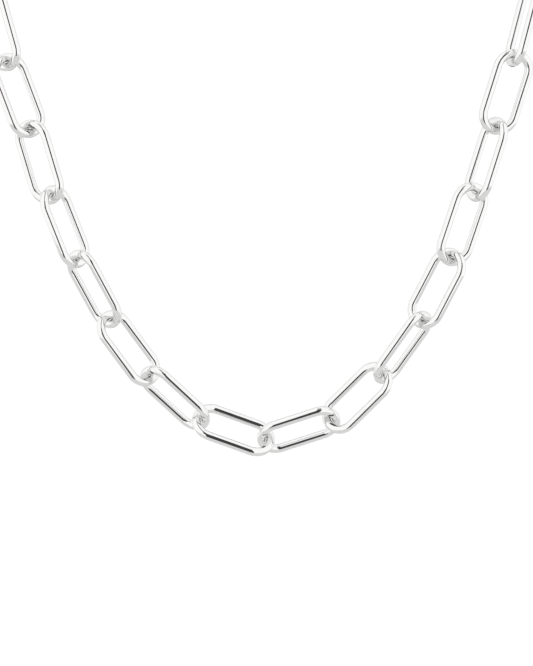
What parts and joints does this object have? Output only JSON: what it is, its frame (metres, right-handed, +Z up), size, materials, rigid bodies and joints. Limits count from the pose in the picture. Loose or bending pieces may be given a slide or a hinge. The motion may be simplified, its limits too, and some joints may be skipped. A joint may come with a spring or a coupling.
{
  "type": "paperclip chain necklace",
  "caption": "Closed necklace of long round-ended links of round silver wire, interlocked and turned in turn, hanging as worn, with one plain clasp at the nape.",
  "frame": {"origin": "the middle of the neck opening, level with the clasp at the nape: where the necklace sits on a neck", "axes": "+Z up along the neck; -Y to the front, where the drop hangs; +X to the right as seen from the front"},
  "size_m": [0.1215, 0.0958, 0.1338],
  "materials": {
    "polished_silver": "mirror polish"
  },
  "bodies": {
    "root": {"link_01": "polished_silver", "link_02": "polished_silver", "link_03": "polished_silver", "link_04": "polished_silver", "link_05": "polished_silver", "link_06": "polished_silver", "link_07": "polished_silver", "link_08": "polished_silver", "link_09": "polished_silver", "link_10": "polished_silver", "link_11": "polished_silver", "link_12": "polished_silver", "link_13": "polished_silver", "link_14": "polished_silver", "link_15": "polished_silver", "link_16": "polished_silver", "link_17": "polished_silver", "link_18": "polished_silver", "link_19": "polished_silver", "link_20": "polished_silver", "link_21": "polished_silver", "link_22": "polished_silver", "link_23": "polished_silver", "link_24": "polished_silver", "link_25": "polished_silver", "link_26": "polished_silver", "link_27": "polished_silver", "link_28": "polished_silver", "link_29": "polished_silver", "link_30": "polished_silver", "link_31": "polished_silver", "link_32": "polished_silver", "link_33": "polished_silver", "link_34": "polished_silver", "link_35": "polished_silver", "link_36": "polished_silver", "link_37": "polished_silver", "link_38": "polished_silver", "clasp": "polished_silver"}
  },
  "joints": []
}
